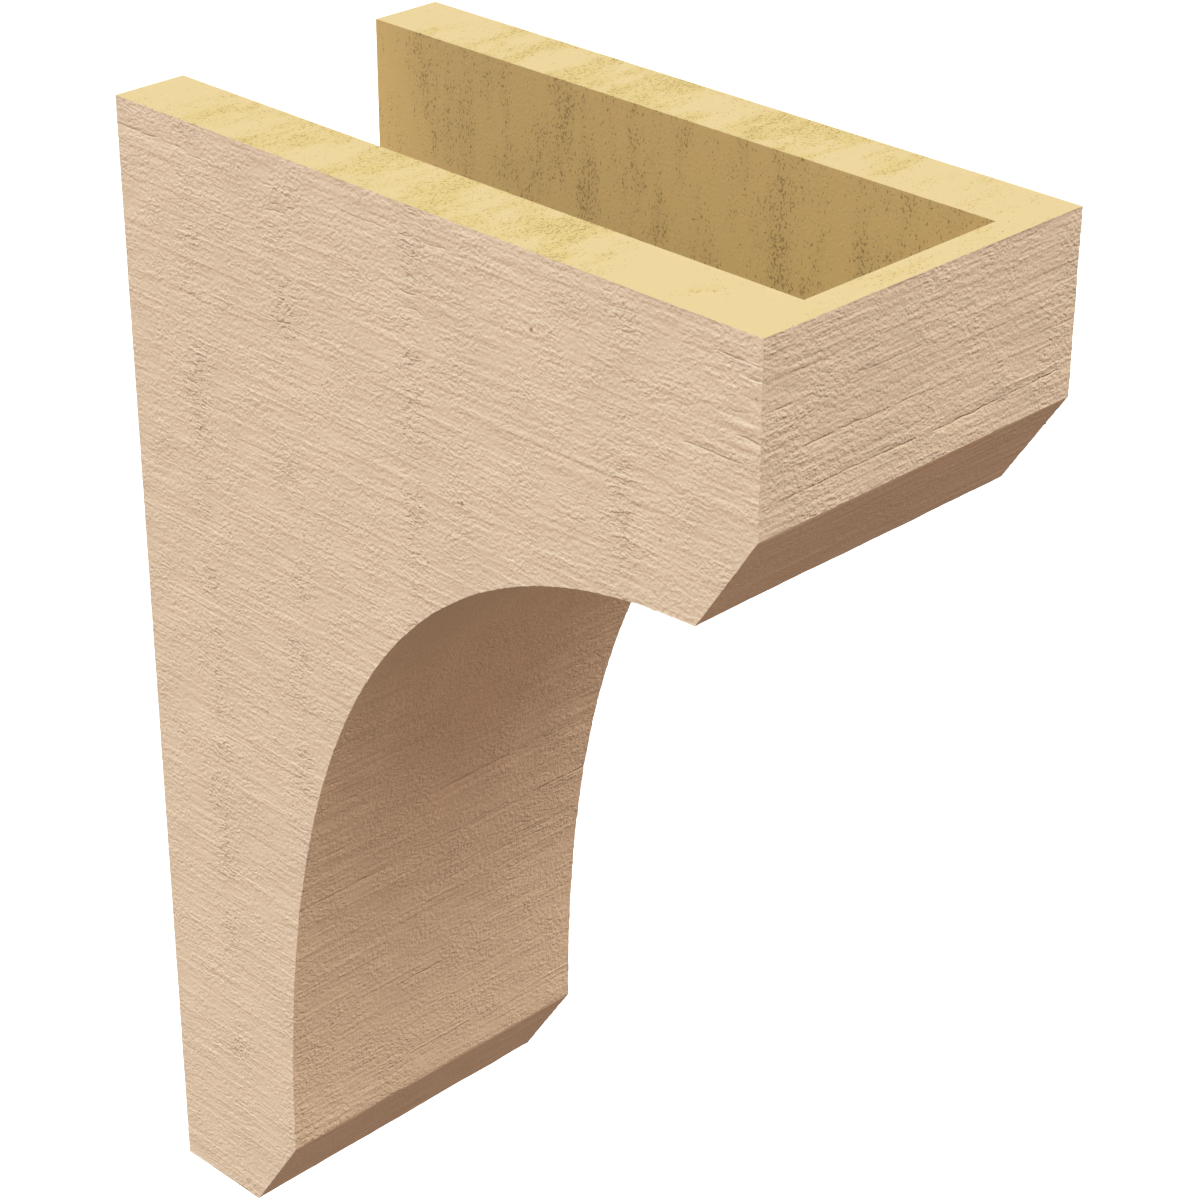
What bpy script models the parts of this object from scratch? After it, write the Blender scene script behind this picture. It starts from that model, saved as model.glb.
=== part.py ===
"""Hollow corbel: one casting in rigid polyurethane foam with a rough-sawn timber surface.

Two thick side walls are joined by a thinner web. The web follows the corbel's outline down
the front, under the head, round the arch and down the leg, and closes the bottom. The
hollow between the walls is open at the top, where a shelf or beam covers it, and at the
back, where the building's wall does.

Metres, +Z up. The building's wall is the plane y = 0, and the corbel stands out from it
along -Y. The origin is the middle of the bottom's back edge, which is fixed to that wall.
"""

import bpy
import bmesh
from mathutils import Vector
from mathutils.geometry import interpolate_bezier

INCH = 0.0254

# Overall size
WIDTH = 6.0 * INCH
DEPTH = 12.0 * INCH
HEIGHT = 18.0 * INCH

# Thickness of the casting
SIDE_WALL = 0.0305
WEB = 0.0115

# Head
FRONT_FACE_HEIGHT = 2.625 * INCH
CHAMFER_DEPTH = 1.0 * INCH
CHAMFER_HEIGHT = 1.5 * INCH

# Leg
LEG_DEPTH = 2.75 * INCH

# Arch from the head's chamfer down to the leg's: how far each end's tangent pulls on the
# curve, as a share of the arch's run or drop, and the number of points along it
ARCH_RUN_PULL = 0.69
ARCH_DROP_PULL = 0.61
ARCH_POINTS = 65

# How far the hollow's cutter reaches past the open top and back
OVERSHOOT = 0.02

# Colour, roughness and metallic value of the casting's surface
SKIN_COLOUR = (0.62, 0.48, 0.34, 1.0)
SKIN_ROUGHNESS = 0.78
SKIN_METALLIC = 0.0


def clear_scene():
    for item in list(bpy.data.objects):
        bpy.data.objects.remove(item)


def arch():
    """The underside between the two chamfers: level under the head, upright at the leg."""
    head = Vector((DEPTH - CHAMFER_DEPTH, HEIGHT - FRONT_FACE_HEIGHT - CHAMFER_HEIGHT))
    leg = Vector((LEG_DEPTH, CHAMFER_HEIGHT))
    run = head.x - leg.x
    drop = head.y - leg.y
    head_handle = head - Vector((ARCH_RUN_PULL * run, 0.0))
    leg_handle = leg + Vector((0.0, ARCH_DROP_PULL * drop))
    return interpolate_bezier(head, head_handle, leg_handle, leg, ARCH_POINTS)


def outer_path():
    """The side view from the top of the front round to the wall, as (out, up) points."""
    front_top = Vector((DEPTH, HEIGHT))
    front_bottom = Vector((DEPTH, HEIGHT - FRONT_FACE_HEIGHT))
    leg_tip = Vector((LEG_DEPTH - CHAMFER_DEPTH, 0.0))
    wall_foot = Vector((0.0, 0.0))
    return [front_top, front_bottom, *arch(), leg_tip, wall_foot]


def moved_inward(path, distance):
    """The same path a web's thickness inside the casting, mitred at its corners."""
    headings = [(end - start).normalized() for start, end in zip(path, path[1:])]
    inward = [Vector((heading.y, -heading.x)) for heading in headings]
    before = [inward[0], *inward]
    after = [*inward, inward[-1]]
    return [
        point + (first + second) * distance / (1.0 + first.dot(second))
        for point, first, second in zip(path, before, after)
    ]


def hollow_path(outer):
    """The hollow's side view, carried out past the open top and the open back."""
    inner = moved_inward(outer, WEB)
    above_front = inner[0] + Vector((0.0, OVERSHOOT))
    behind_foot = inner[-1] - Vector((OVERSHOOT, 0.0))
    behind_top = Vector((behind_foot.x, above_front.y))
    return [above_front, *inner[1:-1], behind_foot, behind_top]


def prism(name, side_view, width):
    """A solid with the given side view, centred on x = 0, its underside at the bottom."""
    shape = bmesh.new()
    corners = [shape.verts.new((-width / 2, -point.x, point.y)) for point in side_view]
    side = shape.faces.new(corners)
    grown = bmesh.ops.extrude_face_region(shape, geom=[side])["geom"]
    far_corners = [item for item in grown if isinstance(item, bmesh.types.BMVert)]
    bmesh.ops.translate(shape, vec=(width, 0.0, 0.0), verts=far_corners)
    bmesh.ops.recalc_face_normals(shape, faces=shape.faces)
    mesh = bpy.data.meshes.new(name)
    shape.to_mesh(mesh)
    shape.free()
    solid = bpy.data.objects.new(name, mesh)
    bpy.context.collection.objects.link(solid)
    return solid


def skin_material():
    material = bpy.data.materials.new("rough_sawn_skin")
    material.use_nodes = True
    shader = material.node_tree.nodes["Principled BSDF"]
    shader.inputs["Base Color"].default_value = SKIN_COLOUR
    shader.inputs["Roughness"].default_value = SKIN_ROUGHNESS
    shader.inputs["Metallic"].default_value = SKIN_METALLIC
    return material


def build_corbel():
    outer = outer_path()
    back_to_top = Vector((0.0, HEIGHT))
    casting = prism("corbel_casting", [*outer, back_to_top], WIDTH)
    hollow = prism("hollow_cutter", hollow_path(outer), WIDTH - 2 * SIDE_WALL)
    hollow.hide_render = True
    hollow.display_type = "WIRE"
    cut = casting.modifiers.new("hollow", "BOOLEAN")
    cut.operation = "DIFFERENCE"
    cut.solver = "EXACT"
    cut.object = hollow
    casting.data.materials.append(skin_material())

    # The origin is at mid-thickness of the bottom
    fixing = bpy.data.objects.new("wall_fixing", None)
    bpy.context.collection.objects.link(fixing)
    for item in (casting, hollow):
        item.parent = fixing
        item.location = (0.0, 0.0, -WEB / 2)


clear_scene()
build_corbel()
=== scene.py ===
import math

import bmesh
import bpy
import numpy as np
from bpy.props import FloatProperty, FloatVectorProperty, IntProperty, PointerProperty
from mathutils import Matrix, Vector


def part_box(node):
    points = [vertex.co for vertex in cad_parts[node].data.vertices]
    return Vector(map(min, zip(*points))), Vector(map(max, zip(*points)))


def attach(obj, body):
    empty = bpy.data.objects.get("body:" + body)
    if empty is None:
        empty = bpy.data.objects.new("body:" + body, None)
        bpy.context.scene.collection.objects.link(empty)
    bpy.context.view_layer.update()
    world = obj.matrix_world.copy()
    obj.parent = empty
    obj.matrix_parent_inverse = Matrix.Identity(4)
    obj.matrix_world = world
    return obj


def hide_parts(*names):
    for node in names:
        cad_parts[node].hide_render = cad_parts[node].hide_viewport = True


bl_info = {
    "name": "Rough-Sawn Corbel",
    "version": (1, 0, 0),
    "blender": (4, 5, 0),
    "location": "View3D > Sidebar > Corbel",
    "description": "Models and finishes a hollow foam corbel with a rough-sawn timber surface",
    "category": "Object",
}

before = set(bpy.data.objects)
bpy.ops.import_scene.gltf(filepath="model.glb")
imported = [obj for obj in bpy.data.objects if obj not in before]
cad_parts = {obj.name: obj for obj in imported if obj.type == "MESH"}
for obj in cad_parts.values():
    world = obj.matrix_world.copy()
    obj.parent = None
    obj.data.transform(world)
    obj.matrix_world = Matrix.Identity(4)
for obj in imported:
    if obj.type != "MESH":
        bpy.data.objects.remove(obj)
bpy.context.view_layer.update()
LOW, HIGH = (Vector(corner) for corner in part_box("corbel_casting"))

INCH = 0.0254
MM = 0.001

# Vertices closer than this are one, in metres
WELD = 0.03 * MM
# How far off its place a vertex or face may be and still be found there, in metres
NEAR = 0.05 * MM
# Faces that meet at less than this are shaded smooth, in degrees
SMOOTH_BELOW = 40
# How deep the relief lies below the CAD's faces where it neither rises nor falls, in millimetres
USUAL_DEPTH = 0.3
# Depth of the sides' relief, as a share of the other faces'
SIDE_RELIEF = 0.84
# Where the saw jumped across the sides, in millimetres out from the wall
SAW_JUMPS = (37, 87, 151, 249)
# Pinholes in the left side, drawn as dark spots of painted shade, in millimetres out from the wall and down
# from the top
PINHOLES = ((207.5, 26.2), (174.0, 98.3))
# A distance that no crack reaches, in millimetres
FAR = 50.0

# The camera's place in metres and its directions, solved from the corbel's straight edges
CAMERA_PLACE = Vector((-0.7272, -0.8811, 0.82345))
CAMERA_AHEAD = Vector((0.6295, 0.6216, -0.4663))
CAMERA_RIGHT = Vector((0.7033, -0.7108, 0.0019))
# How wide its sensor is, in millimetres
SENSOR_WIDTH = 36.0
# How wide each soft light looks, in degrees
LIGHT_SPREAD = 50


# Sizes and colours


class CorbelSizes(bpy.types.PropertyGroup):
    """The casting's form, in metres."""

    width: FloatProperty(
        name="Width", description="Across both side walls", default=HIGH.x - LOW.x, unit="LENGTH"
    )
    depth: FloatProperty(
        name="Depth", description="From the wall to the front", default=HIGH.y - LOW.y, unit="LENGTH"
    )
    height: FloatProperty(
        name="Height", description="From the foot to the top", default=HIGH.z - LOW.z, unit="LENGTH"
    )
    side_wall: FloatProperty(
        name="Side wall", description="Thickness of each side wall", default=0.0305, unit="LENGTH"
    )
    web: FloatProperty(
        name="Web",
        description="Thickness of the casting round the front, arch, leg and foot",
        default=0.0115,
        unit="LENGTH",
    )
    front_face: FloatProperty(
        name="Front face", description="Height of the upright front", default=2.625 * INCH, unit="LENGTH"
    )
    chamfer_depth: FloatProperty(
        name="Chamfer depth", description="How far each chamfer runs back", default=INCH, unit="LENGTH"
    )
    chamfer_height: FloatProperty(
        name="Chamfer height", description="How far each chamfer drops", default=1.5 * INCH, unit="LENGTH"
    )
    leg_depth: FloatProperty(
        name="Leg depth", description="Depth of the leg at its foot", default=2.75 * INCH, unit="LENGTH"
    )
    arch_run_pull: FloatProperty(
        name="Arch run pull",
        description="Share of the arch's run that its level end keeps to",
        default=0.69,
        subtype="FACTOR",
    )
    arch_drop_pull: FloatProperty(
        name="Arch drop pull",
        description="Share of the arch's drop that its upright end keeps to",
        default=0.61,
        subtype="FACTOR",
    )
    across_grain: FloatProperty(
        name="Cell across grain",
        description="Spacing of the surface mesh across the grain",
        default=0.9 * MM,
        unit="LENGTH",
        precision=5,
    )
    along_grain: FloatProperty(
        name="Cell along grain",
        description="Spacing of the surface mesh along the grain",
        default=2.8 * MM,
        unit="LENGTH",
        precision=5,
    )


class CorbelFinish(bpy.types.PropertyGroup):
    """The casting's surface: a painted tan skin outside, and bare foam on its cut edges and inside; the
    arch's and chamfers' skin and the cracks carry painted shade, and the hollow's foam painted light.
    """

    skin: FloatVectorProperty(
        name="Skin", description="Painted outer skin", subtype="COLOR", default=(0.684, 0.555, 0.422)
    )
    # Painted shade: the same paint as the sides, tinted warmer for the warm shade under the corbel
    arch_skin_warm_shade: FloatVectorProperty(
        name="Arch skin", description="Painted skin of the arch, a little warmer", subtype="COLOR",
        default=(0.725, 0.555, 0.398),
    )
    # Painted shade: the same paint as the sides, darker and browner for the shade on these downward faces
    chamfer_skin_shade: FloatVectorProperty(
        name="Chamfer skin", description="Painted skin of the chamfers, a little browner", subtype="COLOR",
        default=(0.668, 0.489, 0.352),
    )
    # Painted shade: the dark colour mixed into the skin's cracks, saw bites and pits
    crevice_shade: FloatVectorProperty(
        name="Crevice", description="Skin in its cracks and pits", subtype="COLOR",
        default=(0.31, 0.19, 0.10),
    )
    foam: FloatVectorProperty(
        name="Foam", description="Bare foam of the cut top and back", subtype="COLOR",
        default=(0.510, 0.376, 0.182),
    )
    # Painted light: the same bare foam as the cut top and back, made lighter to brighten the shaded hollow
    foam_inside: FloatVectorProperty(
        name="Foam inside", description="Bare foam of the hollow's walls", subtype="COLOR",
        default=(0.640, 0.455, 0.184),
    )
    foam_patch: FloatVectorProperty(
        name="Foam patch", description="Yellower foam where the specks gather", subtype="COLOR",
        default=(0.478, 0.347, 0.128),
    )
    speckle: FloatVectorProperty(
        name="Speckle", description="Olive specks in the cut foam", subtype="COLOR",
        default=(0.24, 0.15, 0.035),
    )
    speckle_inside: FloatVectorProperty(
        name="Speckle inside", description="Brown specks on the hollow's walls", subtype="COLOR",
        default=(0.23, 0.14, 0.05),
    )
    skin_roughness: FloatProperty(
        name="Skin roughness", description="Roughness of the painted skin", default=0.8, subtype="FACTOR"
    )
    foam_roughness: FloatProperty(
        name="Foam roughness", description="Roughness of the bare foam", default=0.85, subtype="FACTOR"
    )
    relief: FloatProperty(
        name="Relief",
        description="Depth of the rough-sawn relief, as a share of its usual depth",
        default=1.0,
        min=0.0,
        max=2.0,
    )
    grain_seed: IntProperty(name="Grain", description="Which pattern of grain is drawn", default=11)


class CorbelStage(bpy.types.PropertyGroup):
    """The plain studio round the corbel."""

    floor_drop: FloatProperty(
        name="Floor drop", description="How far the floor is below the wall rim", default=1.3, unit="LENGTH"
    )
    floor_size: FloatProperty(
        name="Floor size", description="Width of the floor", default=24.0, unit="LENGTH"
    )
    floor_colour: FloatVectorProperty(
        name="Floor", description="Pale floor", subtype="COLOR", default=(0.93, 0.93, 0.93)
    )
    focal_length: FloatProperty(
        name="Focal length", description="Of the camera, in millimetres", default=97.37, unit="CAMERA"
    )


# Selecting and editing as by hand


def only(piece):
    bpy.ops.object.select_all(action="DESELECT")
    piece.select_set(True)
    bpy.context.view_layer.objects.active = piece


def open_edit(piece, mode="VERT"):
    only(piece)
    bpy.ops.object.mode_set(mode="EDIT")
    bpy.ops.mesh.select_mode(type=mode)


def close_edit():
    bpy.ops.object.mode_set(mode="OBJECT")


def pick(piece, kind, test):
    """Selects only the verts, edges or faces that pass the test."""
    bpy.ops.mesh.select_all(action="DESELECT")
    shape = bmesh.from_edit_mesh(piece.data)
    for item in getattr(shape, kind):
        if test(item):
            item.select_set(True)
    shape.select_flush_mode()
    bmesh.update_edit_mesh(piece.data)


def face_outwards():
    bpy.ops.mesh.select_all(action="SELECT")
    bpy.ops.mesh.normals_make_consistent(inside=False)


def extrude(step):
    bpy.ops.mesh.extrude_region_move(TRANSFORM_OT_translate={"value": step})


def at(place):
    return lambda vertex: (vertex.co - place).length < NEAR


def grow_line(piece, start, step, cuts=0):
    """Draws one more straight stretch from a line's end, and returns the new end."""
    end = start + Vector(step)
    pick(piece, "verts", at(start))
    extrude(step)
    if cuts:
        pick(piece, "verts", lambda vertex: at(start)(vertex) or at(end)(vertex))
        bpy.ops.mesh.subdivide(number_cuts=cuts)
    return end


def cut_away(piece, cutter):
    only(piece)
    bpy.ops.object.modifier_add(type="BOOLEAN")
    cut = piece.modifiers[-1]
    cut.operation = "DIFFERENCE"
    cut.solver = "MANIFOLD"
    cut.object = cutter
    faces = len(piece.data.polygons)
    bpy.ops.object.modifier_apply(modifier=cut.name)
    if len(piece.data.polygons) == faces:
        raise RuntimeError(cutter.name + " cut nothing away")
    bpy.data.objects.remove(cutter)


# The corbel's side view, in the plane x = 0


def head_end(sizes):
    """Where the upper chamfer meets the arch."""
    drop = sizes.front_face + sizes.chamfer_height
    return Vector((0.0, LOW.y + sizes.chamfer_depth, HIGH.z - drop))


def leg_end(sizes):
    """Where the arch meets the lower chamfer."""
    return Vector((0.0, HIGH.y - sizes.leg_depth, LOW.z + sizes.chamfer_height))


def draw_arch(sizes, name, points):
    head = head_end(sizes)
    leg = leg_end(sizes)
    bpy.ops.curve.primitive_bezier_curve_add()
    arch = bpy.context.object
    arch.name = name
    arch.data.resolution_u = points
    first, last = arch.data.splines[0].bezier_points
    for point, place in ((first, head), (last, leg)):
        point.handle_left_type = point.handle_right_type = "FREE"
        point.co = point.handle_left = point.handle_right = place
    first.handle_right = head + Vector((0.0, sizes.arch_run_pull * (leg.y - head.y), 0.0))
    last.handle_left = leg + Vector((0.0, 0.0, sizes.arch_drop_pull * (head.z - leg.z)))
    only(arch)
    bpy.ops.object.convert(target="MESH")
    return arch


def sweep(piece, widths):
    """Draws a filled side view out across the corbel in stretches, centred on x = 0."""
    bpy.ops.mesh.select_all(action="SELECT")
    bpy.ops.transform.translate(value=(-sum(widths) / 2, 0.0, 0.0))
    for width in widths:
        extrude((width, 0.0, 0.0))


def runs_across(edge, least):
    first, last = edge.verts
    return abs(first.co.x - last.co.x) > least


# Form


def fine_block(sizes):
    """A full block whose sides and upper front carry a fine mesh along the grain."""
    rows = round(sizes.height / sizes.across_grain)
    columns = round(sizes.depth / sizes.along_grain)
    bpy.ops.mesh.primitive_grid_add(
        x_subdivisions=columns,
        y_subdivisions=rows,
        size=1.0,
        location=(LOW.x, (LOW.y + HIGH.y) / 2, (LOW.z + HIGH.z) / 2),
        rotation=(math.pi / 2, 0.0, math.pi / 2),
    )
    block = bpy.context.object
    block.name = "corbel"
    block.scale = (sizes.depth, sizes.height, 1.0)
    bpy.ops.object.transform_apply(location=True, rotation=True, scale=True)
    open_edit(block)
    bpy.ops.mesh.select_all(action="SELECT")
    extrude((sizes.width, 0.0, 0.0))
    face_outwards()
    bpy.ops.mesh.select_mode(type="EDGE")
    least_height = HIGH.z - sizes.front_face - 3 * sizes.across_grain

    def on_upper_front(edge):
        place = edge.verts[0].co
        return place.y < LOW.y + NEAR and place.z > least_height and runs_across(edge, sizes.web)

    pick(block, "edges", on_upper_front)
    bpy.ops.mesh.subdivide(number_cuts=round(sizes.width / sizes.along_grain) - 1)
    close_edit()
    return block


def arch_space(sizes):
    """The space under the corbel, with a fine mesh where it meets the casting."""
    margin = sizes.web
    chamfer = Vector((0.0, sizes.chamfer_depth, -sizes.chamfer_height))
    chord = (head_end(sizes) - leg_end(sizes)).length
    # The arch is longer than its chord, so it has a few more points
    points = round(1.05 * chord / sizes.across_grain)
    space = draw_arch(sizes, "arch_space", points)
    open_edit(space)
    cuts = round(chamfer.length / sizes.across_grain) - 1
    front_corner = grow_line(space, head_end(sizes), -chamfer, cuts)
    grow_line(space, front_corner, -chamfer)
    foot_corner = grow_line(space, leg_end(sizes), chamfer, cuts)
    below_foot = grow_line(space, foot_corner, chamfer)
    grow_line(space, below_foot, (0.0, -sizes.depth, 0.0))
    bpy.ops.mesh.select_all(action="SELECT")
    bpy.ops.mesh.edge_face_add()
    sweep(space, (margin, sizes.width, margin))
    bpy.ops.mesh.select_mode(type="EDGE")

    def on_underside(edge):
        place = edge.verts[0].co
        inside = LOW.y - NEAR < place.y < foot_corner.y + NEAR and place.z > LOW.z - NEAR
        return inside and runs_across(edge, sizes.width / 2)

    pick(space, "edges", on_underside)
    bpy.ops.mesh.subdivide(number_cuts=round(sizes.width / sizes.along_grain) - 1)
    face_outwards()
    close_edit()
    return space


def hollow_space(sizes):
    """The hollow, a web's thickness inside the outline and out past the open top and back."""
    overshoot = sizes.web
    chamfer = Vector((0.0, sizes.chamfer_depth, -sizes.chamfer_height))
    hollow = draw_arch(sizes, "hollow_space", points=48)
    open_edit(hollow)
    front_corner = grow_line(hollow, head_end(sizes), -chamfer)
    grow_line(hollow, front_corner, (0.0, 0.0, sizes.front_face))
    foot_corner = grow_line(hollow, leg_end(sizes), chamfer)
    wall_foot = grow_line(hollow, foot_corner, (0.0, HIGH.y - foot_corner.y, 0.0))
    grow_line(hollow, wall_foot, (0.0, 0.0, sizes.height))
    bpy.ops.mesh.select_all(action="SELECT")
    bpy.ops.mesh.edge_face_add()
    bpy.ops.mesh.select_mode(type="FACE")
    bpy.ops.mesh.select_all(action="SELECT")
    bpy.ops.mesh.inset(thickness=sizes.web, use_even_offset=True)
    bpy.ops.mesh.select_all(action="INVERT")
    bpy.ops.mesh.delete(type="FACE")
    bpy.ops.mesh.select_mode(type="VERT")
    pick(hollow, "verts", lambda vertex: vertex.co.z > HIGH.z - sizes.web - NEAR)
    bpy.ops.transform.translate(value=(0.0, 0.0, sizes.web + overshoot))
    pick(hollow, "verts", lambda vertex: vertex.co.y > HIGH.y - sizes.web - NEAR)
    bpy.ops.transform.translate(value=(0.0, sizes.web + overshoot, 0.0))
    sweep(hollow, (sizes.width - 2 * sizes.side_wall,))
    face_outwards()
    close_edit()
    return hollow


# Relief


def swells(seed, u, v):
    """Smooth noise over a sheet, about -1 to 1, one swell to each unit of u and of v."""
    cells = 512
    angle = np.random.default_rng(seed).uniform(0.0, 2 * math.pi, (cells, cells))
    left = np.floor(u).astype(int)
    down = np.floor(v).astype(int)
    fu = u - left
    fv = v - down

    def corner(i, j):
        turn = angle[(left + i) % cells, (down + j) % cells]
        return np.cos(turn) * (fu - i) + np.sin(turn) * (fv - j)

    ease_u = fu**3 * (fu * (6 * fu - 15) + 10)
    ease_v = fv**3 * (fv * (6 * fv - 15) + 10)
    near = corner(0, 0) + ease_u * (corner(1, 0) - corner(0, 0))
    far = corner(0, 1) + ease_u * (corner(1, 1) - corner(0, 1))
    return 1.5 * (near + ease_v * (far - near))


def steep_topped(seed, along, across, long, tall):
    """Ridges along the grain with a steep upper flank and a gentle lower one."""
    lean = swells(seed, along / long, across / tall)
    return swells(seed, along / long, across / tall - 0.28 * lean)


def rough_sawn(seed, along, across):
    """The relief that all the painted faces share, from millimetres along and across the grain."""
    drift = 0.8 * swells(seed + 1, along / 40, across / 18) + 0.35 * swells(seed + 2, along / 12, across / 7)
    line = across + drift
    lumps = 0.09 * swells(seed + 3, along / 4.5, line / 2.4)
    ridges = 0.08 * steep_topped(seed + 4, along, line, 22, 1.8)
    lines = 0.11 * steep_topped(seed + 5, along, line, 90, 2.2)
    waves = 0.11 * swells(seed + 6, along / 20, across / 16)
    patches = 0.9 + 0.5 * swells(seed + 7, along / 30, across / 14)
    return patches * (lumps + ridges + lines) + waves - saw_lines(seed + 8, along, line)


def saw_lines(seed, along, across):
    """Thin raised lines that run far along the grain."""
    here = np.clip(2.0 * swells(seed, along / 35, across / 6) + 0.3, 0.0, 1.0)
    off_line = swells(seed + 1, along / 160, across / 4.5) - 0.12
    return 0.21 * here * np.exp(-np.abs(off_line) / 0.10)


def chatter(seed, along, across, centre):
    """How strongly the saw jumped, from 0 to 1, in a wandering band across the grain."""
    wander = 2.5 * swells(seed, across / 14, 0.5)
    band = np.exp(-(((along - centre - wander) / 5.5) ** 2))
    return band * np.clip(0.45 + 1.6 * swells(seed + 1, across / 11, 0.5), 0.0, 1.0)


class Cracks:
    """Cracks along the grain over one face: how far each place is from the nearest, and its depth."""

    # Over how many millimetres a crack's ends fade, and how wide half its groove is
    taper = 3.0
    half_width = 1.1

    def __init__(self, along, across):
        self.along = along
        self.across = across
        self.distance = np.full(len(along), FAR)
        self.depth = np.zeros(len(along))

    def add(self, seed, start, end, level, wander=0.6, depth=0.35):
        """A crack from start to end, about the given level; a negative depth is a raised line."""
        along = self.along
        middle = level + wander * (swells(seed, along / 7, 0.5) + 0.5 * swells(seed + 1, along / 3, 0.5))
        started = np.clip((along - start) / self.taper, 0.0, 1.0)
        reach = started * np.clip((end - along) / self.taper, 0.0, 1.0)
        distance = self.across - middle
        nearer = (np.abs(distance) < np.abs(self.distance)) & (reach > 0)
        broken = np.clip(0.7 + 1.2 * swells(seed + 2, along / 5, 0.5), 0.15, 1.0)
        beside = np.clip(1.6 - np.abs(distance) / 2, 0.0, 1.0)
        self.distance[nearer] = distance[nearer]
        self.depth[nearer] = (depth * reach * broken * beside)[nearer]

    def groove(self):
        """How far the cracks go below the relief round them, in millimetres."""
        return 0.6 * self.depth * np.exp(-((self.distance / self.half_width) ** 2))


def rough_patch(seed, along, across, place, size, crumb=(4.5, 1.8), height=0.22):
    """Coarse crumbs within an oval patch."""
    inside = np.exp(-(((along - place[0]) / size[0]) ** 2) - ((across - place[1]) / size[1]) ** 2)
    return height * inside * swells(seed, along / crumb[0], across / crumb[1])


def left_marks(out, down):
    """Cracks and the coarse end of the left side, by distance from the wall and below the top."""
    cracks = Cracks(out, down)
    cracks.add(81, 0, 37, 10.3)
    cracks.add(83, 36, 55, 12.0)
    cracks.add(85, 116, 172, 10.8, depth=0.2)
    cracks.add(87, 50, 70, 20.0, depth=0.25)
    cracks.add(89, 78, 90, 20.8, 1.2)
    cracks.add(91, 78, 89, 26.5, 1.2)
    cracks.add(93, 76, 90, 51.0, 1.0)
    cracks.add(95, 78, 90, 60.0, 1.2)
    cracks.add(97, 145, 156, 30.0, 1.2)
    cracks.add(99, 146, 158, 36.5, 1.0)
    cracks.add(101, 285, 306, 9.5)
    cracks.add(103, 291, 306, 14.0)
    cracks.add(105, 288, 300, 26.0, 1.2)
    cracks.add(107, 292, 306, 34.0)
    cracks.add(109, 272, 306, 42.9, 0.2)
    return cracks, rough_patch(111, out, down, (300, 25), (14, 24), (9, 2.9), 0.42)


def front_marks(x, down):
    """Cracks and coarse patches of the upright front, by distance from its left edge and top."""
    cracks = Cracks(x, down)
    cracks.add(121, 16, 74, 40.7, 0.5, 0.35)
    cracks.add(125, -3, 14, 24.9, 0.4, 0.3)
    cracks.add(127, 26, 76, 24.4, 0.4, 0.2)
    cracks.add(129, 5, 76, 56.0, 0.5, 0.3)
    cracks.add(131, 80, 148, 55.8, 0.9, 0.4)
    cracks.add(133, 114, 147, 52.0, 0.8, -0.2)
    left_patch = rough_patch(135, x, down, (34, 47), (15, 6))
    right_patch = rough_patch(137, x, down, (102, 26), (14, 8))
    return cracks, left_patch + right_patch


def arch_marks(x, height):
    """Cracks and grain lines of the arch, by distance from its left edge and above its lower end."""
    cracks = Cracks(x, height)
    cracks.add(141, -3, 50, 117, 0.4, 0.3)
    cracks.add(143, 74, 112, 117.5, 1.6, 0.35)
    cracks.add(145, 122, 156, 117, 0.6, 0.5)
    cracks.add(147, 66, 153, 145, 0.5, 0.25)
    cracks.add(149, -3, 66, 180, 0.5, 0.3)
    cracks.add(151, -3, 51, 166, 0.5, 0.3)
    cracks.add(153, 44, 56, 173 + 7 * np.tanh((x - 50) / 2.5), 0.2, 0.25)
    cracks.add(155, 54, 80, 53, 0.4, 0.35)
    cracks.add(157, -3, 156, 16, 0.3, -0.2)
    # Long grain lines that part round a small knot
    for number in range(4):
        bow = (4 + 5 * number) * np.exp(-(((x - 105) / 42) ** 2))
        fade = 0.2 - 0.03 * number
        cracks.add(161 + 2 * number, 62, 156, 91 + bow, 0.3, fade)
        cracks.add(171 + 2 * number, 66, 156, 89 - 0.8 * bow, 0.3, fade)
    knot = np.exp(-(((x - 79) / 2.2) ** 2) - ((height - 89) / 1.3) ** 2)
    # Faint saw lines across the grain on the left
    cross_cut = np.clip(swells(181, x / 24, height / 30) + 0.3, 0.0, 1.0) * (height > 70) * (height < 170)
    teeth = 0.05 * cross_cut * swells(183, height / 60, x / 2.6)
    # Stronger ridges over its middle, which fade out at its upper and lower ends and at its edges
    middle = np.clip((height - 50) / 40, 0.0, 1.0) * np.clip((280 - height) / 60, 0.0, 1.0)
    half_width = (HIGH.x - LOW.x) / MM / 2
    from_edge = half_width - np.abs(x - half_width)
    broad = 0.35 * steep_topped(187, x, height, 80, 7)
    narrow = 0.24 * steep_topped(189, x, height, 50, 2.8)
    ridges = middle * np.clip(from_edge / 9, 0.0, 1.0) * (0.2 + broad + narrow)
    return cracks, 0.4 * knot + teeth + ridges + rough_patch(185, x, height, (125, 185), (26, 26))


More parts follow.
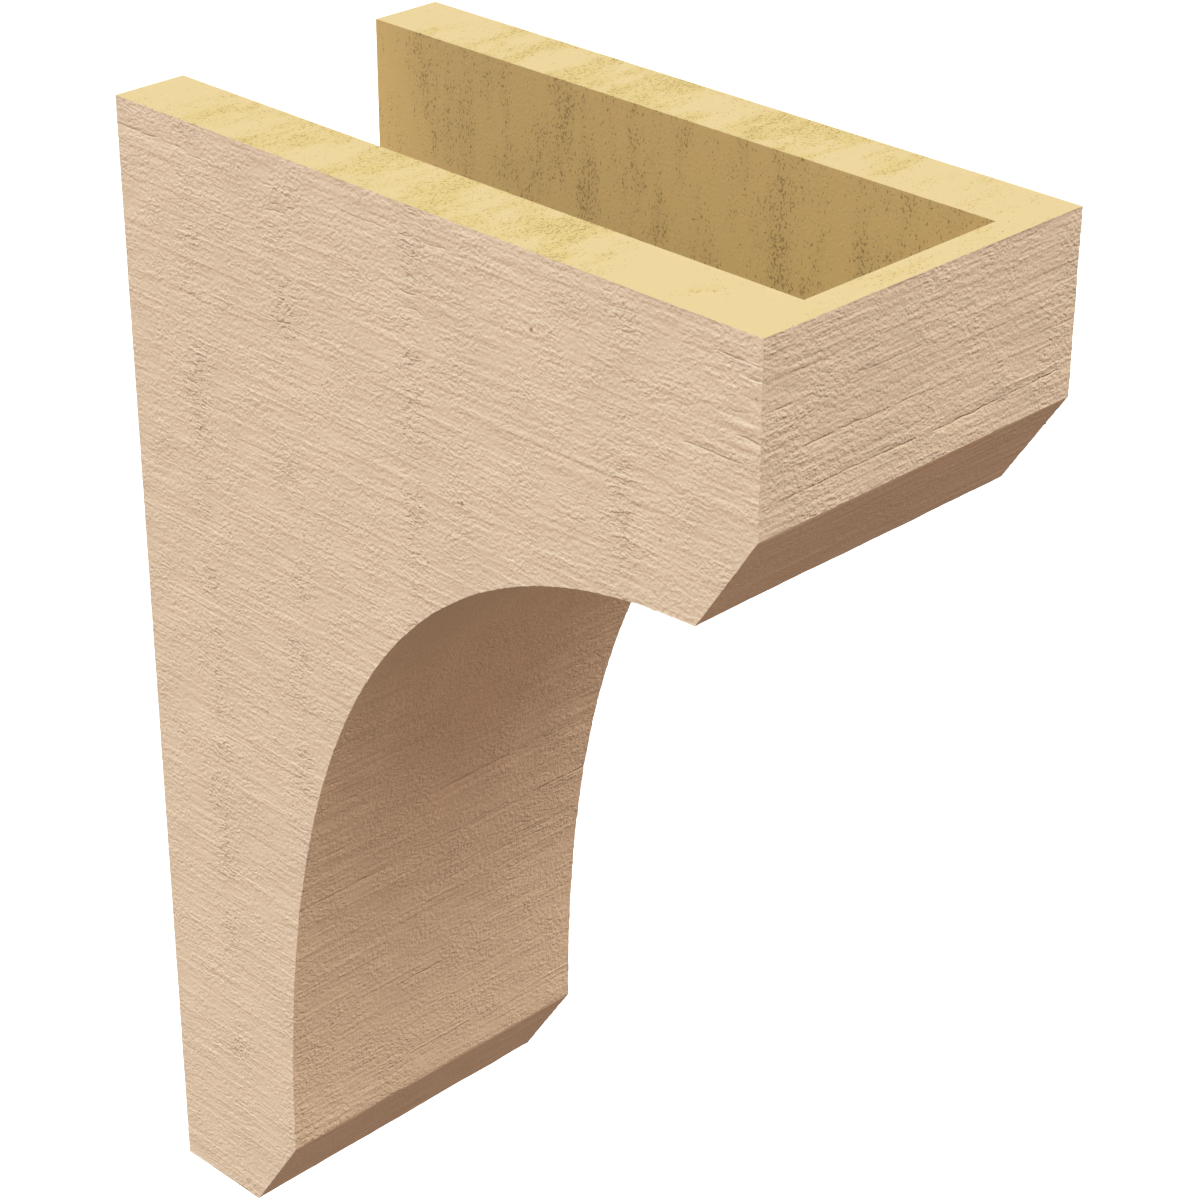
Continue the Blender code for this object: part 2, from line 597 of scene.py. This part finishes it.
def face_groups(piece, sizes):
    """The painted faces of each group, as arrays of true and false, and every face's normal."""
    mesh = piece.data
    count = len(mesh.polygons)
    normal = np.empty(count * 3)
    mesh.polygons.foreach_get("normal", normal)
    normal = normal.reshape(count, 3)
    centre = np.empty(count * 3)
    mesh.polygons.foreach_get("center", centre)
    centre = centre.reshape(count, 3)
    sideways = np.abs(normal[:, 0]) > 0.5
    outside = np.abs(centre[:, 0]) > HIGH.x - NEAR
    outward = ~sideways & ((normal[:, 1] < -0.05) | (normal[:, 2] < -0.05))
    on_front = centre[:, 1] < LOW.y + NEAR
    on_foot = centre[:, 2] < LOW.z + NEAR
    above_arch = centre[:, 2] > head_end(sizes).z
    below_arch = centre[:, 2] < leg_end(sizes).z
    groups = {
        "left": sideways & outside & (centre[:, 0] < 0),
        "right": sideways & outside & (centre[:, 0] > 0),
        "front": outward & on_front,
        "foot": outward & on_foot,
        "head_chamfer": outward & above_arch & ~on_front,
        "foot_chamfer": outward & below_arch & ~on_foot,
        "arch": outward & ~above_arch & ~below_arch,
    }
    return groups, normal


def group_normals(piece, members, normal):
    """Each vertex's outward direction over one group of faces, and which vertices have one."""
    mesh = piece.data
    total = np.zeros((len(mesh.vertices), 3))
    loop_vertex = np.empty(len(mesh.loops), dtype=int)
    mesh.loops.foreach_get("vertex_index", loop_vertex)
    loop_total = np.empty(len(mesh.polygons), dtype=int)
    mesh.polygons.foreach_get("loop_total", loop_total)
    area = np.empty(len(mesh.polygons))
    mesh.polygons.foreach_get("area", area)
    face_of_loop = np.repeat(np.arange(len(mesh.polygons)), loop_total)
    chosen = members[face_of_loop]
    faces = face_of_loop[chosen]
    np.add.at(total, loop_vertex[chosen], normal[faces] * area[faces, None])
    length = np.linalg.norm(total, axis=1)
    touched = length > 0
    total[touched] /= length[touched, None]
    return total, touched


def carve_relief(piece, sizes, finish):
    """Presses the rough-sawn relief into every painted face, by its own depth along its own normal."""
    mesh = piece.data
    groups, normal = face_groups(piece, sizes)
    place = np.empty(len(mesh.vertices) * 3)
    mesh.vertices.foreach_get("co", place)
    place = place.reshape(-1, 3)
    out = (HIGH.y - place[:, 1]) / MM
    down = (HIGH.z - place[:, 2]) / MM
    x = (place[:, 0] - LOW.x) / MM
    run = down_the_front(sizes, place)
    arch_foot = down_the_front(sizes, np.array([leg_end(sizes)]))[0]
    moved = place.copy()
    crack_distance = np.full(len(place), FAR)
    crack_depth = np.zeros(len(place))
    jumps = np.zeros(len(place))
    for number, (name, members) in enumerate(groups.items()):
        direction, touched = group_normals(piece, members, normal)
        seed = finish.grain_seed + 1000 * number
        cracks = Cracks(x, down)
        marks = 0.0
        if name in ("left", "right"):
            direction = touched[:, None] * np.array((-1.0 if name == "left" else 1.0, 0.0, 0.0))
            level = SIDE_RELIEF * rough_sawn(seed, out, -down)
            for band, centre in enumerate(SAW_JUMPS):
                jump = chatter(seed + 50 + 10 * band, out, -down, centre)
                jumps = np.maximum(jumps, jump * touched)
                level += 0.14 * jump * swells(seed + 100 + band, out / 5, -down / 1.9)
        else:
            direction[:, 0] = 0.0
            level = rough_sawn(seed, x, out if name == "foot" else -run)
        if name == "left":
            cracks, marks = left_marks(out, down)
        if name == "front":
            cracks, marks = front_marks(x, down)
        if name == "arch":
            cracks, marks = arch_marks(x, arch_foot - run)
        pressed = np.clip(USUAL_DEPTH + level + marks + cracks.groove(), 0.0, None)
        depth = finish.relief * pressed * touched
        moved -= direction * depth[:, None] * MM
        cracked = touched & (cracks.depth != 0)
        crack_distance[cracked] = cracks.distance[cracked]
        crack_depth[cracked] = cracks.depth[cracked]
    mesh.vertices.foreach_set("co", moved.ravel())
    mesh.update()
    for name, values in (("crack_distance", crack_distance), ("crack_depth", crack_depth), ("jumps", jumps)):
        mesh.attributes.new(name, "FLOAT", "POINT").data.foreach_set("value", values)


def down_the_front(sizes, place):
    """Millimetres from the top edge down the front, chamfer, arch and leg, for places on them."""
    out = (HIGH.y - place[:, 1]) / MM
    up = (place[:, 2] - LOW.z) / MM
    steps = np.linspace(0.0, 1.0, 400)[:, None]
    head = head_end(sizes)
    leg = leg_end(sizes)
    start = np.array(((HIGH.y - head.y) / MM, (head.z - LOW.z) / MM))
    end = np.array(((HIGH.y - leg.y) / MM, (leg.z - LOW.z) / MM))
    start_pull = start - np.array((sizes.arch_run_pull * (start[0] - end[0]), 0.0))
    end_pull = end + np.array((0.0, sizes.arch_drop_pull * (start[1] - end[1])))
    arch = (
        (1 - steps) ** 3 * start
        + 3 * steps * (1 - steps) ** 2 * start_pull
        + 3 * steps**2 * (1 - steps) * end_pull
        + steps**3 * end
    )
    chamfer = np.array((sizes.chamfer_depth / MM, sizes.chamfer_height / MM))
    front_top = np.array((sizes.depth / MM, sizes.height / MM))
    path = np.vstack([front_top, start + chamfer, arch, end - chamfer])
    travelled = np.concatenate([[0.0], np.cumsum(np.linalg.norm(np.diff(path, axis=0), axis=1))])
    # Out plus up only falls along this path, so it tells how far along a place is
    fall = -(path[:, 0] + path[:, 1])
    return np.interp(-(out + up), fall, travelled)


# Materials


class Strand:
    """A value in a material that can be used in sums."""

    def __init__(self, material, socket):
        self.material = material
        self.socket = socket

    def math(self, operation, *values, clamp=False):
        settings = {"operation": operation, "use_clamp": clamp}
        return self.material.add("ShaderNodeMath", settings, {n: v for n, v in enumerate((self, *values))})

    def __add__(self, other):
        return self.math("ADD", other)

    def __sub__(self, other):
        return self.math("SUBTRACT", other)

    def __rsub__(self, other):
        return self.material.add("ShaderNodeMath", {"operation": "SUBTRACT"}, {0: other, 1: self})

    def __mul__(self, other):
        return self.math("MULTIPLY", other)

    __radd__ = __add__
    __rmul__ = __mul__

    def size(self):
        return self.math("ABSOLUTE")

    def between(self, low, high):
        """0 below low, 1 above high, and smooth between them."""
        return self.material.add(
            "ShaderNodeMapRange",
            {"interpolation_type": "SMOOTHSTEP"},
            {"Value": self, "From Min": low, "From Max": high},
        )


class Finish:
    """A material whose nodes are added by name."""

    def __init__(self, name):
        self.material = bpy.data.materials.new(name)
        self.material.use_nodes = True
        self.tree = self.material.node_tree
        self.shader = self.tree.nodes["Principled BSDF"]

    def add(self, kind, settings=None, sockets=None, output=0):
        node = self.tree.nodes.new(kind)
        for name, value in (settings or {}).items():
            setattr(node, name, value)
        for name, value in (sockets or {}).items():
            self.feed(node.inputs[name], value)
        return Strand(self, node.outputs[output])

    def feed(self, socket, value):
        if isinstance(value, Strand):
            self.tree.links.new(value.socket, socket)
        else:
            socket.default_value = value

    def place(self, scale):
        """Object coordinates in millimetres, stretched by the given scale along each axis."""
        coordinates = self.add("ShaderNodeTexCoord", output="Object")
        stretch = tuple(factor / MM for factor in scale)
        return self.add("ShaderNodeMapping", {}, {"Vector": coordinates, "Scale": stretch})

    def noise(self, place, size, detail, roughness=0.5):
        """Smooth noise from 0 to 1, its swells the given size in millimetres."""
        return self.add(
            "ShaderNodeTexNoise",
            {},
            {"Vector": place, "Scale": 1.0 / size, "Detail": detail, "Roughness": roughness},
            output="Fac",
        )

    def bubbles(self, place, apart):
        """Distance to the nearest of scattered points, in cells, and a random value for each."""
        nearest = self.add(
            "ShaderNodeTexVoronoi", {}, {"Vector": place, "Scale": 1.0 / apart}, output="Distance"
        )
        return nearest, Strand(self, nearest.socket.node.outputs["Color"])

    def attribute(self, name):
        return self.add("ShaderNodeAttribute", {"attribute_name": name}, output="Fac")

    def distance(self, place, point):
        return self.add(
            "ShaderNodeVectorMath", {"operation": "DISTANCE"}, {0: place, 1: point}, output="Value"
        )

    def mix(self, share, first, second):
        """The share runs from all first to all second; 6, 7 and output 2 are the mix node's colours."""
        return self.add(
            "ShaderNodeMix",
            {"data_type": "RGBA", "clamp_factor": True},
            {"Factor": share, 6: first, 7: second},
            output=2,
        )

    def bump(self, height, depth):
        """Relief from a height in shares of the given depth, which is in metres."""
        return self.add("ShaderNodeBump", {}, {"Height": height, "Distance": depth, "Strength": 1.0})

    def finish(self, colour, normal, roughness):
        self.feed(self.shader.inputs["Base Color"], colour)
        self.feed(self.shader.inputs["Normal"], normal)
        self.shader.inputs["Roughness"].default_value = roughness
        return self.material


def opaque(colour):
    return (*colour, 1.0)


def shade(colour, share):
    return (colour[0] * share, colour[1] * share, colour[2] * share, 1.0)


def skin_material(name, finish, paint_and_shade, along_axis, coarseness):
    """Painted rough-sawn skin, its grain along the X axis (0) or the Y axis (1); its colour carries painted
    shade on the arch and chamfers and in the cracks and pits.
    """
    skin = Finish(name)
    plain = skin.place((1.0, 1.0, 1.0))

    def along(stretch):
        scale = [1.0, 1.0, 1.0]
        scale[along_axis] = stretch
        return skin.place(scale)

    patches = skin.noise(plain, 15.0, 1.0) * 1.7
    crumbs = skin.noise(plain, 0.9, 0.0) * 0.18 + skin.noise(along(0.72), 1.35, 1.0) * 0.46
    streaks = skin.noise(along(0.06), 1.8, 1.0) * 0.19
    here = skin.noise(along(0.12), 4.0, 1.0).between(0.42, 0.60)
    ledges = (skin.noise(along(0.008), 3.5, 0.0) - 0.5).size()
    lines = (1.0 - ledges.between(0.0, 0.14)) * here * 0.08
    jumps = skin.attribute("jumps")
    bites = skin.noise(along(0.45), 1.6, 1.0).between(0.52, 0.66) * jumps
    off_crack = skin.attribute("crack_distance").size()
    cracks = (1.0 - off_crack.between(0.0, 0.6)) * skin.attribute("crack_depth")
    height = crumbs * (patches + jumps * 0.4) + streaks + lines - bites * 0.38 - cracks * 0.7
    bubbles, chosen = skin.bubbles(plain, 13.0)
    # The pits and pinholes have no relief of their own: they are dark spots of painted shade
    pit_shade = (1.0 - bubbles.between(0.02, 0.07)) * chosen.between(0.55, 0.56)
    for out, down in PINHOLES:
        pinhole = (LOW.x / MM, HIGH.y / MM - out, HIGH.z / MM - down)
        pit_shade = pit_shade + (1.0 - skin.distance(plain, pinhole).between(0.6, 1.0)) * 1.4
    blotches = skin.noise(plain, 38.0, 3.0).between(0.3, 0.7)
    tan = skin.mix(blotches, shade(paint_and_shade, 0.98), shade(paint_and_shade, 1.02))
    # Painted shade in the bites and cracks, darker where the cracks are deeper
    skin_with_bite_and_crack_shade = skin.mix(bites * 0.16 + cracks * 0.5, tan, opaque(finish.crevice_shade))
    skin_with_pit_shade = skin.mix(pit_shade * 0.6, skin_with_bite_and_crack_shade, opaque(finish.crevice_shade))
    return skin.finish(skin_with_pit_shade, skin.bump(height, coarseness * MM), finish.skin_roughness)


def foam_material(name, finish, cream, patch, speckle, clean_ends=0.0):
    """Bare foam, with specks in bands across the walls; clean_ends keeps them off the walls' ends."""
    foam = Finish(name)
    plain = foam.place((1.0, 1.0, 1.0))
    out = foam.add("ShaderNodeSeparateXYZ", {}, {"Vector": plain}, output="Y") * -1.0
    middle = out.between(15.0, 60.0) * (1.0 - out.between(200.0, 255.0))
    bands = foam.noise(foam.place((0.4, 1.0, 0.28)), 18.0, 4.0, 0.68) + (middle - 0.6) * clean_ends
    grains = foam.noise(foam.place((0.75, 1.0, 0.7)), 0.85, 1.0, 0.7)
    specks = (grains + bands * 0.7).between(0.98, 1.05)
    yellower = foam.mix(bands.between(0.46, 0.62) * 0.8, opaque(cream), patch)
    colour = foam.mix(specks * 0.65, yellower, opaque(speckle))
    pores = foam.noise(plain, 1.3, 1.0)
    return foam.finish(colour, foam.bump(pores, 0.10 * MM), finish.foam_roughness)


def assign_materials(piece, sizes, finish):
    mesh = piece.data
    edge_patch = opaque(finish.foam_patch)
    # The hollow's foam and its patches are drawn lighter, as painted light
    inside_patch_lit = shade(finish.foam_inside, 0.93)
    mesh.materials.clear()
    for material in (
        skin_material("rough_sawn_sides", finish, finish.skin, 1, 1.25),
        skin_material("rough_sawn_front", finish, finish.skin, 0, 1.25),
        # The arch's skin colour has painted warm shade in it
        skin_material("rough_sawn_arch", finish, finish.arch_skin_warm_shade, 0, 1.5),
        # The chamfers' skin colour has painted shade in it
        skin_material("rough_sawn_chamfers", finish, finish.chamfer_skin_shade, 0, 0.5),
        foam_material("foam_cut_edges", finish, finish.foam, edge_patch, finish.speckle, 0.14),
        foam_material("foam_inside", finish, finish.foam_inside, inside_patch_lit, finish.speckle_inside),
    ):
        mesh.materials.append(material)
    sides, front, arch, chamfers, cut_edges, inside = range(6)
    skins = {
        "left": sides,
        "right": sides,
        "front": front,
        "foot": front,
        "arch": arch,
        "head_chamfer": chamfers,
        "foot_chamfer": chamfers,
    }
    centre = np.empty(len(mesh.polygons) * 3)
    mesh.polygons.foreach_get("center", centre)
    centre = centre.reshape(-1, 3)
    on_rim = (centre[:, 2] > HIGH.z - NEAR) | (centre[:, 1] > HIGH.y - NEAR)
    slot = np.where(on_rim, cut_edges, inside)
    groups, _ = face_groups(piece, sizes)
    for name, members in groups.items():
        slot[members] = skins[name]
    mesh.polygons.foreach_set("material_index", slot)


# Operators


class CORBEL_OT_casting(bpy.types.Operator):
    """Model the corbel's casting, with its rough-sawn skin and bare foam hollow"""

    bl_idname = "corbel.casting"
    bl_label = "Casting"

    def execute(self, context):
        sizes = context.scene.corbel_sizes
        finish = context.scene.corbel_finish
        bpy.ops.object.select_all(action="DESELECT")
        casting = fine_block(sizes)
        cut_away(casting, arch_space(sizes))
        cut_away(casting, hollow_space(sizes))
        open_edit(casting)
        bpy.ops.mesh.select_all(action="SELECT")
        bpy.ops.mesh.remove_doubles(threshold=WELD)
        close_edit()
        assign_materials(casting, sizes, finish)
        carve_relief(casting, sizes, finish)
        only(casting)
        bpy.ops.object.shade_smooth_by_angle(angle=math.radians(SMOOTH_BELOW))
        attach(casting, "root")
        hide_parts("corbel_casting")
        return {"FINISHED"}


class CORBEL_OT_stage(bpy.types.Operator):
    """Set a plain pale floor, soft studio lights and the camera"""

    bl_idname = "corbel.stage"
    bl_label = "Stage"

    def execute(self, context):
        stage = context.scene.corbel_stage
        bpy.ops.object.select_all(action="DESELECT")
        add_floor(stage)
        add_lights()
        add_surroundings(context.scene)
        add_camera(context.scene, stage)
        context.scene.view_settings.view_transform = "Standard"
        if context.scene.camera is None:
            raise RuntimeError("The stage has no camera")
        return {"FINISHED"}


def add_floor(stage):
    bpy.ops.mesh.primitive_plane_add(size=stage.floor_size, location=(0.0, 0.0, -stage.floor_drop))
    floor = bpy.context.object
    floor.name = "floor"
    floor.visible_diffuse = False
    floor.visible_glossy = False
    floor.visible_shadow = False
    pale = bpy.data.materials.new("pale_floor")
    pale.use_nodes = True
    pale.node_tree.nodes["Principled BSDF"].inputs["Base Color"].default_value = opaque(stage.floor_colour)
    pale.node_tree.nodes["Principled BSDF"].inputs["Roughness"].default_value = 0.9
    floor.data.materials.append(pale)


def add_sun(name, azimuth, elevation, light):
    """A broad soft light, its azimuth in degrees from the front towards the left side."""
    turn = math.radians(azimuth)
    lift = math.radians(elevation)
    towards = Vector((-math.sin(turn) * math.cos(lift), -math.cos(turn) * math.cos(lift), math.sin(lift)))
    bpy.ops.object.light_add(type="SUN")
    sun = bpy.context.object
    sun.name = name
    strongest = max(light)
    sun.data.energy = math.pi * strongest
    sun.data.color = [part / strongest for part in light]
    sun.data.angle = math.radians(LIGHT_SPREAD)
    sun.rotation_euler = towards.to_track_quat("Z", "Y").to_euler()


def add_lights():
    """White and cool lights from high up, and warm ones from low down that fill their shade."""
    add_sun("high_front_light", 0, 60, (0.92, 0.94, 0.89))
    add_sun("high_left_light", 120, 65, (0.68, 0.85, 0.95))
    add_sun("low_right_light", -60, 10, (0.70, 0.51, 0.41))
    add_sun("back_left_light", 135, 20, (0.39, 0.30, 0.25))
    add_sun("low_left_light", 90, -30, (0.49, 0.39, 0.31))


def add_surroundings(scene):
    """Plain white behind the corbel, which the camera sees and which lights nothing."""
    world = bpy.data.worlds.new("studio")
    scene.world = world
    world.use_nodes = True
    background = world.node_tree.nodes["Background"]
    background.inputs["Color"].default_value = (1.0, 1.0, 1.0, 1.0)
    seen = world.node_tree.nodes.new("ShaderNodeLightPath")
    world.node_tree.links.new(seen.outputs["Is Camera Ray"], background.inputs["Strength"])


def add_camera(scene, stage):
    ahead = CAMERA_AHEAD.normalized()
    right = (CAMERA_RIGHT - ahead * CAMERA_RIGHT.dot(ahead)).normalized()
    over = right.cross(ahead)
    turn = Matrix((right, over, -ahead)).transposed().to_4x4()
    bpy.ops.object.camera_add()
    camera = bpy.context.object
    camera.name = "camera"
    camera.matrix_world = Matrix.Translation(CAMERA_PLACE) @ turn
    camera.data.lens = stage.focal_length
    camera.data.sensor_width = SENSOR_WIDTH
    scene.camera = camera


# Panel and add-on


class CORBEL_PT_panel(bpy.types.Panel):
    """Sizes, finish and stage of the corbel"""

    bl_idname = "CORBEL_PT_panel"
    bl_label = "Corbel"
    bl_space_type = "VIEW_3D"
    bl_region_type = "UI"
    bl_category = "Corbel"

    def draw(self, context):
        for settings in (
            context.scene.corbel_sizes,
            context.scene.corbel_finish,
            context.scene.corbel_stage,
        ):
            box = self.layout.box()
            for name in settings.__annotations__:
                box.prop(settings, name)
        self.layout.operator("corbel.casting")
        self.layout.operator("corbel.stage")


CLASSES = (CorbelSizes, CorbelFinish, CorbelStage, CORBEL_OT_casting, CORBEL_OT_stage, CORBEL_PT_panel)


def register():
    for item in CLASSES:
        bpy.utils.register_class(item)
    bpy.types.Scene.corbel_sizes = PointerProperty(type=CorbelSizes)
    bpy.types.Scene.corbel_finish = PointerProperty(type=CorbelFinish)
    bpy.types.Scene.corbel_stage = PointerProperty(type=CorbelStage)


def unregister():
    del bpy.types.Scene.corbel_stage
    del bpy.types.Scene.corbel_finish
    del bpy.types.Scene.corbel_sizes
    for item in reversed(CLASSES):
        bpy.utils.unregister_class(item)


def main():
    register()
    bpy.ops.corbel.casting()
    bpy.ops.corbel.stage()


if __name__ == "__main__":
    main()
